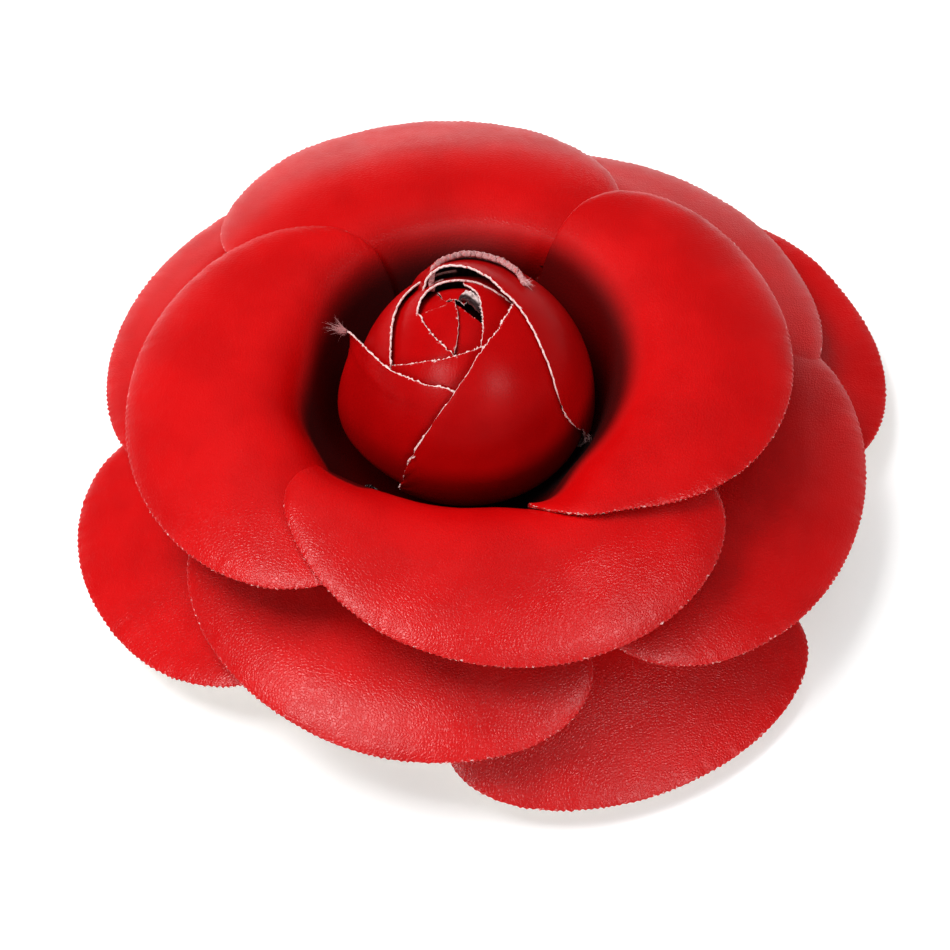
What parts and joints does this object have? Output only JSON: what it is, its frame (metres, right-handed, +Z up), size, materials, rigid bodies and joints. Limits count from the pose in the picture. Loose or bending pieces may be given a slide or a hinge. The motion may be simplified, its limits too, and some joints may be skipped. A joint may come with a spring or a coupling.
{
  "type": "flower hair clip",
  "caption": "Camellia flower of curled leather petals round a wrapped bud, on a felt disc with a sprung alligator hair clip beneath.",
  "frame": {"origin": "on the flat underside of the lower jaw, straight below the flower's axis", "axes": "+Z up along the flower's axis, out of the bud; +X along the clip towards the tips of its jaws; -Y is the front of the flower"},
  "size_m": [0.1057, 0.0996, 0.0408],
  "materials": {
    "petal_leather": "semi-matte grained red leather with a pale woven lining",
    "core_foam": "firm padding",
    "backing_felt": "dark red felt",
    "strap_leather": "semi-matte red leather",
    "clip_steel": "nickel-plated sheet",
    "pin_steel": "plain steel",
    "spring_wire": "drawn wire"
  },
  "bodies": {
    "flower": {"inner_petal_back": "petal_leather", "inner_petal_left": "petal_leather", "inner_petal_front": "petal_leather", "inner_petal_right": "petal_leather", "middle_petal_front": "petal_leather", "middle_petal_right": "petal_leather", "middle_petal_back_right": "petal_leather", "middle_petal_back_left": "petal_leather", "outer_petal_left": "petal_leather", "outer_petal_front": "petal_leather", "outer_petal_right": "petal_leather", "outer_petal_back": "petal_leather", "bud_wrap_right": "petal_leather", "bud_wrap_front": "petal_leather", "bud_wrap_rear": "petal_leather", "bud_wrap_left": "petal_leather", "bud_mid_wrap_left": "petal_leather", "bud_mid_wrap_front": "petal_leather", "bud_inner_wrap_left": "petal_leather", "bud_inner_wrap_right": "petal_leather", "bud_inner_wrap_rear": "petal_leather", "bud_centre": "petal_leather", "bud_core": "core_foam", "backing_disc": "backing_felt", "jaw_strap": "strap_leather", "upper_jaw": "clip_steel", "hinge_pin": "pin_steel", "jaw_spring": "spring_wire"},
    "moving_jaw": {"lower_jaw": "clip_steel"}
  },
  "joints": [
    {"name": "jaw_open", "type": "hinge", "parent": "flower", "child": "moving_jaw", "pos_m": [-0.008, 0, 0.0052], "axis": [0, 1, 0], "range_deg": [0, 25], "stiffness_Nm_per_rad": 0.05, "springref_deg": -45.84, "deforming": ["jaw_spring"]}
  ]
}
